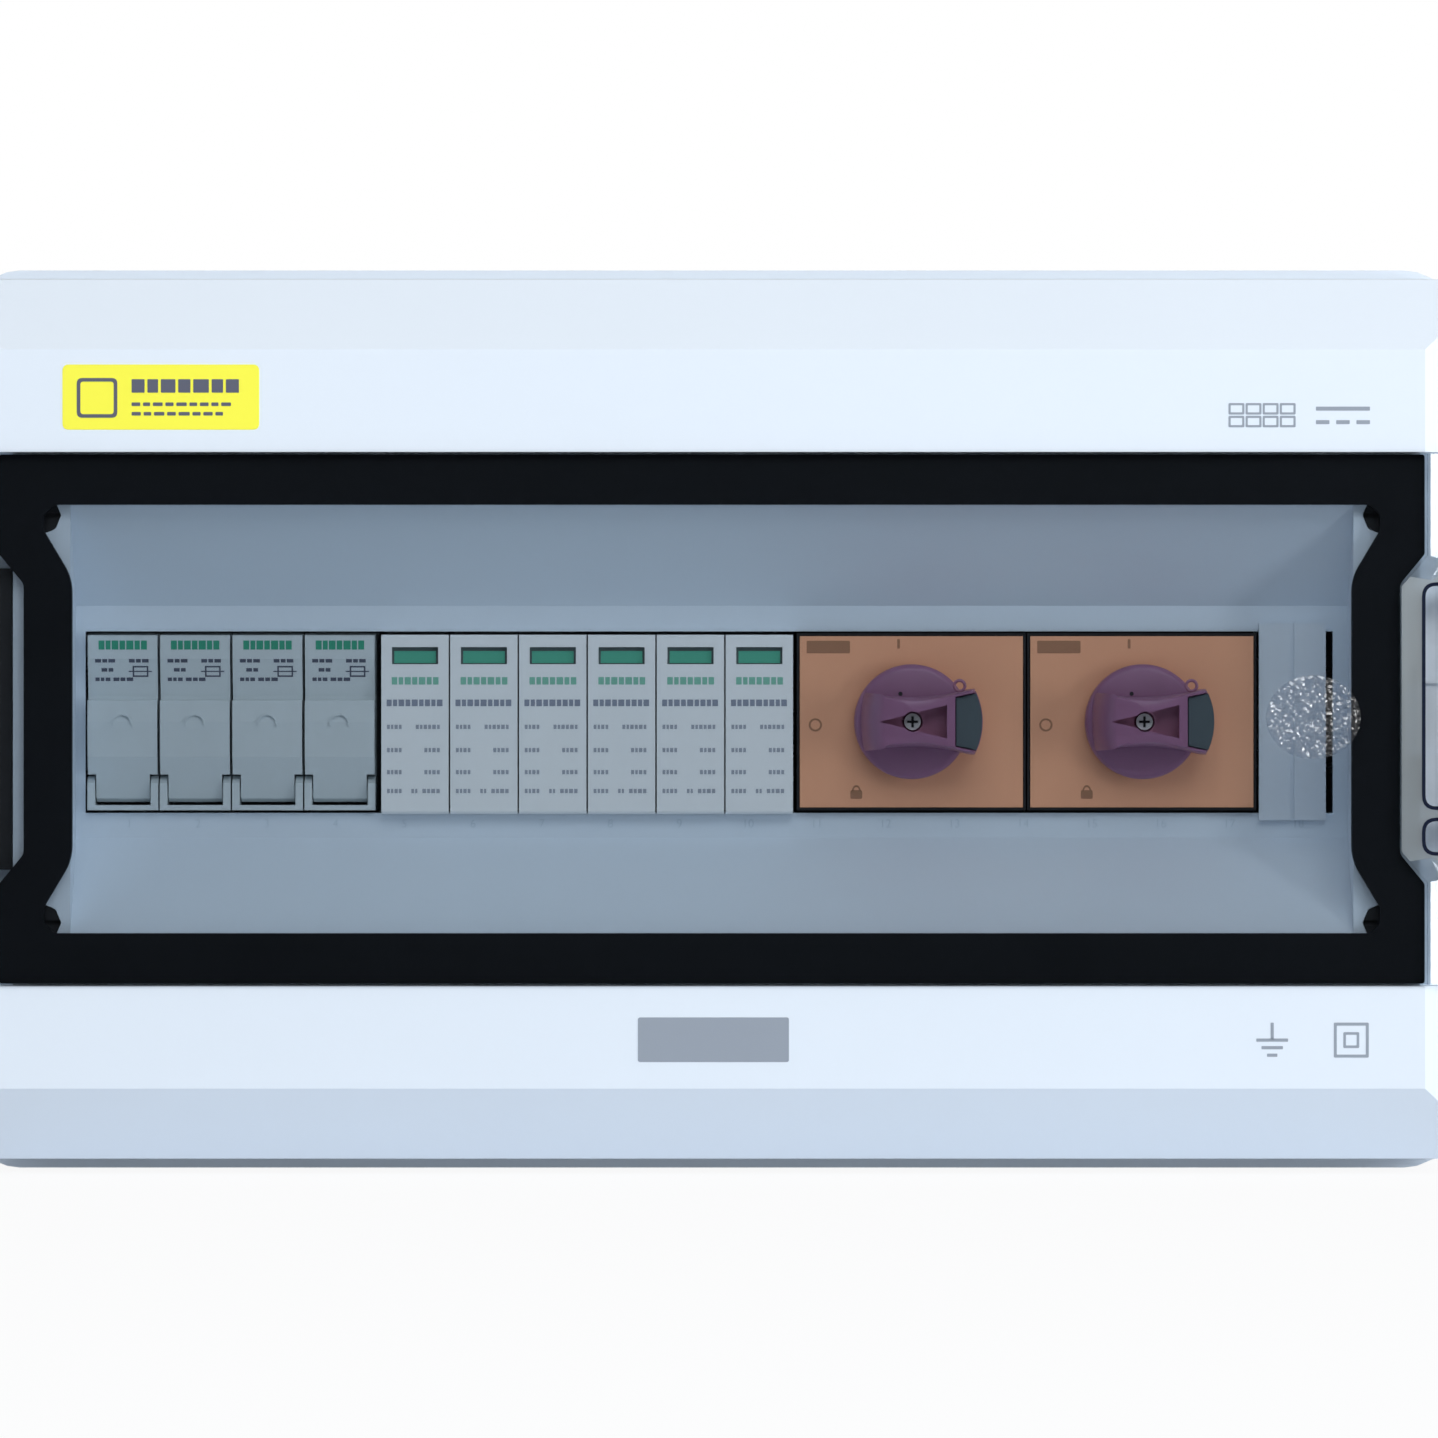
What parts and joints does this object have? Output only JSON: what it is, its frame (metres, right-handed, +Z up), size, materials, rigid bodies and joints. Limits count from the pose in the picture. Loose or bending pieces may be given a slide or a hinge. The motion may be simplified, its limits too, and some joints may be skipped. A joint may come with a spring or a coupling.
{
  "type": "dc combiner box",
  "caption": "Wall-mounted combiner enclosure with a clear hinged door over a DIN rail of fuse holders, plug-in surge protectors and rotary isolators.",
  "frame": {"origin": "centre of the back face, where the box meets the wall", "axes": "+X right along the width, +Z up, the front faces -Y"},
  "size_m": [0.38, 0.11, 0.23],
  "materials": {
    "enclosure_white": "satin moulded white",
    "seal_rubber": "matt black",
    "clear_door": "clear, lightly smoked, glossy",
    "black_plastic": "fine matt",
    "device_grey": "fine matt",
    "surge_grey": "fine matt",
    "plate_orange": "satin",
    "knob_maroon": "satin",
    "slider_slate": "fine matt",
    "steel": "zinc plated",
    "brass": "drawn",
    "ceramic": "unglazed ceramic",
    "wire_red": "insulation"
  },
  "bodies": {
    "enclosure": {"base_shell": "enclosure_white", "cover_seal": "seal_rubber", "front_cover": "enclosure_white", "cover_screw_1": "black_plastic", "cover_screw_2": "black_plastic", "cover_screw_3": "black_plastic", "cover_screw_4": "black_plastic", "hinge_bracket": "black_plastic", "hinge_pin": "steel", "din_rail": "steel", "rail_screw_left": "steel", "rail_screw_right": "steel", "earth_bar": "brass", "earth_bar_holder": "black_plastic", "fuse_body_1": "device_grey", "fuse_body_2": "device_grey", "fuse_body_3": "device_grey", "fuse_body_4": "device_grey", "surge_base_1": "surge_grey", "surge_base_2": "surge_grey", "switch_body_1": "black_plastic", "switch_body_2": "black_plastic", "switch_plate_1": "plate_orange", "switch_plate_2": "plate_orange", "blanking_strip": "enclosure_white", "link_wire_1": "wire_red", "link_wire_2": "wire_red", "link_wire_3": "wire_red", "link_wire_4": "wire_red", "feed_wire_1": "wire_red", "feed_wire_2": "wire_red"},
    "door_leaf": {"door": "clear_door", "door_gasket": "seal_rubber"},
    "carrier_1": {"fuse_carrier_1": "device_grey", "fuse_link_1": "ceramic"},
    "carrier_2": {"fuse_carrier_2": "device_grey", "fuse_link_2": "ceramic"},
    "carrier_3": {"fuse_carrier_3": "device_grey", "fuse_link_3": "ceramic"},
    "carrier_4": {"fuse_carrier_4": "device_grey", "fuse_link_4": "ceramic"},
    "cartridge_1": {"surge_cartridge_1": "surge_grey"},
    "cartridge_2": {"surge_cartridge_2": "surge_grey"},
    "cartridge_3": {"surge_cartridge_3": "surge_grey"},
    "cartridge_4": {"surge_cartridge_4": "surge_grey"},
    "cartridge_5": {"surge_cartridge_5": "surge_grey"},
    "cartridge_6": {"surge_cartridge_6": "surge_grey"},
    "knob_1": {"switch_knob_1": "knob_maroon", "knob_screw_1": "steel", "switch_shaft_1": "steel"},
    "lock_1": {"lock_slider_1": "slider_slate"},
    "knob_2": {"switch_knob_2": "knob_maroon", "knob_screw_2": "steel", "switch_shaft_2": "steel"},
    "lock_2": {"lock_slider_2": "slider_slate"}
  },
  "joints": [
    {"name": "door_hinge", "type": "hinge", "parent": "enclosure", "child": "door_leaf", "pos_m": [-0.184, -0.1035, 0], "axis": [0, 0, -1], "range_deg": [0, 110]},
    {"name": "carrier_1_swing", "type": "hinge", "parent": "enclosure", "child": "carrier_1", "pos_m": [-0.1498, -0.0803, -0.0187], "axis": [1, 0, 0], "range_deg": [0, 30]},
    {"name": "carrier_2_swing", "type": "hinge", "parent": "enclosure", "child": "carrier_2", "pos_m": [-0.1314, -0.0803, -0.0187], "axis": [1, 0, 0], "range_deg": [0, 30]},
    {"name": "carrier_3_swing", "type": "hinge", "parent": "enclosure", "child": "carrier_3", "pos_m": [-0.113, -0.0803, -0.0187], "axis": [1, 0, 0], "range_deg": [0, 30]},
    {"name": "carrier_4_swing", "type": "hinge", "parent": "enclosure", "child": "carrier_4", "pos_m": [-0.0946, -0.0803, -0.0187], "axis": [1, 0, 0], "range_deg": [0, 30]},
    {"name": "cartridge_1_pull", "type": "slide", "parent": "enclosure", "child": "cartridge_1", "axis": [0, -1, 0], "range_m": [0, 0.018]},
    {"name": "cartridge_2_pull", "type": "slide", "parent": "enclosure", "child": "cartridge_2", "axis": [0, -1, 0], "range_m": [0, 0.018]},
    {"name": "cartridge_3_pull", "type": "slide", "parent": "enclosure", "child": "cartridge_3", "axis": [0, -1, 0], "range_m": [0, 0.018]},
    {"name": "cartridge_4_pull", "type": "slide", "parent": "enclosure", "child": "cartridge_4", "axis": [0, -1, 0], "range_m": [0, 0.018]},
    {"name": "cartridge_5_pull", "type": "slide", "parent": "enclosure", "child": "cartridge_5", "axis": [0, -1, 0], "range_m": [0, 0.018]},
    {"name": "cartridge_6_pull", "type": "slide", "parent": "enclosure", "child": "cartridge_6", "axis": [0, -1, 0], "range_m": [0, 0.018]},
    {"name": "knob_1_turn", "type": "hinge", "parent": "enclosure", "child": "knob_1", "pos_m": [0.0507, -0.09, -0.0007], "axis": [0, 1, 0], "range_deg": [-45, 90]},
    {"name": "lock_1_slide", "type": "slide", "parent": "knob_1", "child": "lock_1", "axis": [1, 0, 0], "range_m": [0, 0.004]},
    {"name": "knob_2_turn", "type": "hinge", "parent": "enclosure", "child": "knob_2", "pos_m": [0.1093, -0.09, -0.0007], "axis": [0, 1, 0], "range_deg": [-45, 90]},
    {"name": "lock_2_slide", "type": "slide", "parent": "knob_2", "child": "lock_2", "axis": [1, 0, 0], "range_m": [0, 0.004]}
  ]
}
